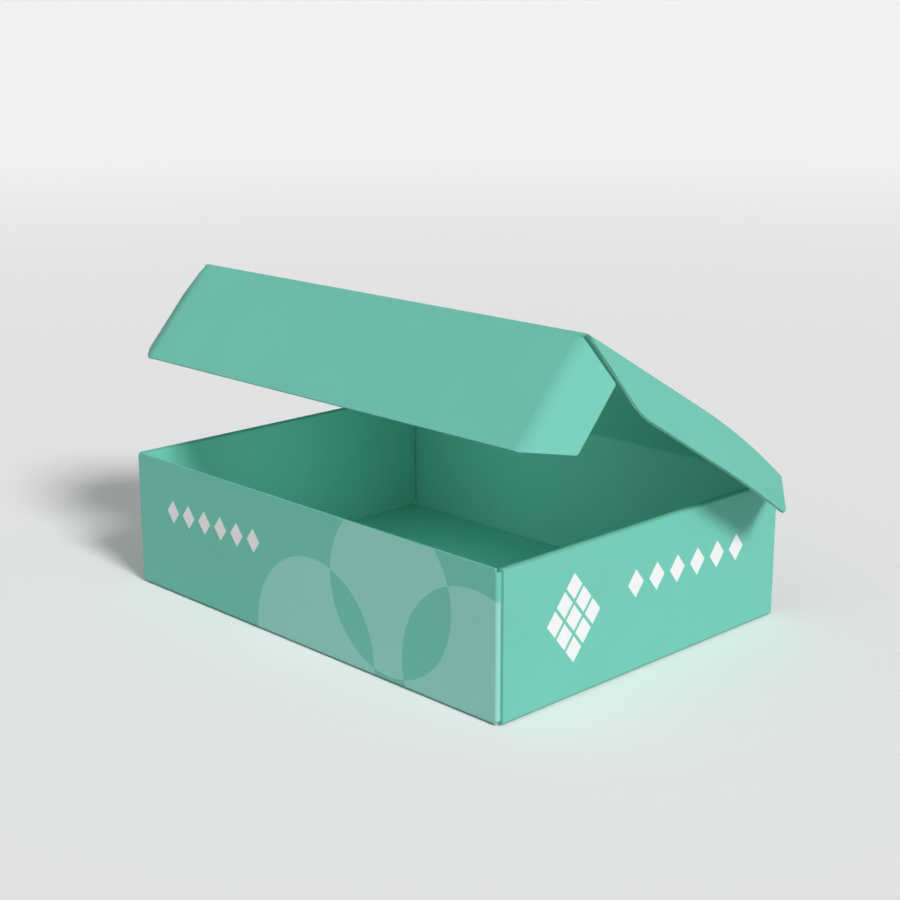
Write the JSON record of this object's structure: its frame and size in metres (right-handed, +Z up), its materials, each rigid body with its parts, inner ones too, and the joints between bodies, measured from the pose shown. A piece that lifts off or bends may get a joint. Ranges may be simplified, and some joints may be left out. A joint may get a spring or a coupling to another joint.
{
  "type": "corrugated mailer box",
  "caption": "Shallow corrugated mailer box: a folded tray with double side walls and a hinged lid with a front tuck flap, end tabs and side ears.",
  "frame": {"origin": "middle of the underside of the tray's floor", "axes": "+X along the width of the front wall, -Y out of the front wall, +Z up out of the tray"},
  "size_m": [0.3742, 0.2315, 0.1918],
  "materials": {
    "printed_board": "matte print"
  },
  "bodies": {
    "tray": {"tray": "printed_board"},
    "lid": {"lid": "printed_board"},
    "front_flap": {"front_flap": "printed_board"},
    "front_tab_right": {"front_tab_right": "printed_board"},
    "front_tab_left": {"front_tab_left": "printed_board"},
    "side_ear_right": {"side_ear_right": "printed_board"},
    "side_ear_left": {"side_ear_left": "printed_board"}
  },
  "joints": [
    {"name": "lid_crease", "type": "hinge", "parent": "tray", "child": "lid", "pos_m": [0, 0.1151, 0.08307], "axis": [-1, 0, 0], "range_deg": [-13, 148]},
    {"name": "front_flap_crease", "type": "hinge", "parent": "lid", "child": "front_flap", "pos_m": [0, -0.05712, 0.1911], "axis": [1, 0, 0], "range_deg": [-77, 14]},
    {"name": "front_tab_right_crease", "type": "hinge", "parent": "front_flap", "child": "front_tab_right", "pos_m": [0.15515, -0.05712, 0.1911], "axis": [0, 0.6639, 0.7478], "range_deg": [-30, 60]},
    {"name": "front_tab_left_crease", "type": "hinge", "parent": "front_flap", "child": "front_tab_left", "pos_m": [-0.15515, -0.05712, 0.1911], "axis": [0, -0.6639, -0.7478], "range_deg": [-30, 60]},
    {"name": "side_ear_right_crease", "type": "hinge", "parent": "lid", "child": "side_ear_right", "pos_m": [0.15615, 0.1151, 0.08307], "axis": [0, -0.8471, 0.5314], "range_deg": [-45, 5]},
    {"name": "side_ear_left_crease", "type": "hinge", "parent": "lid", "child": "side_ear_left", "pos_m": [-0.15615, 0.1151, 0.08307], "axis": [0, 0.8471, -0.5314], "range_deg": [-45, 5]}
  ]
}
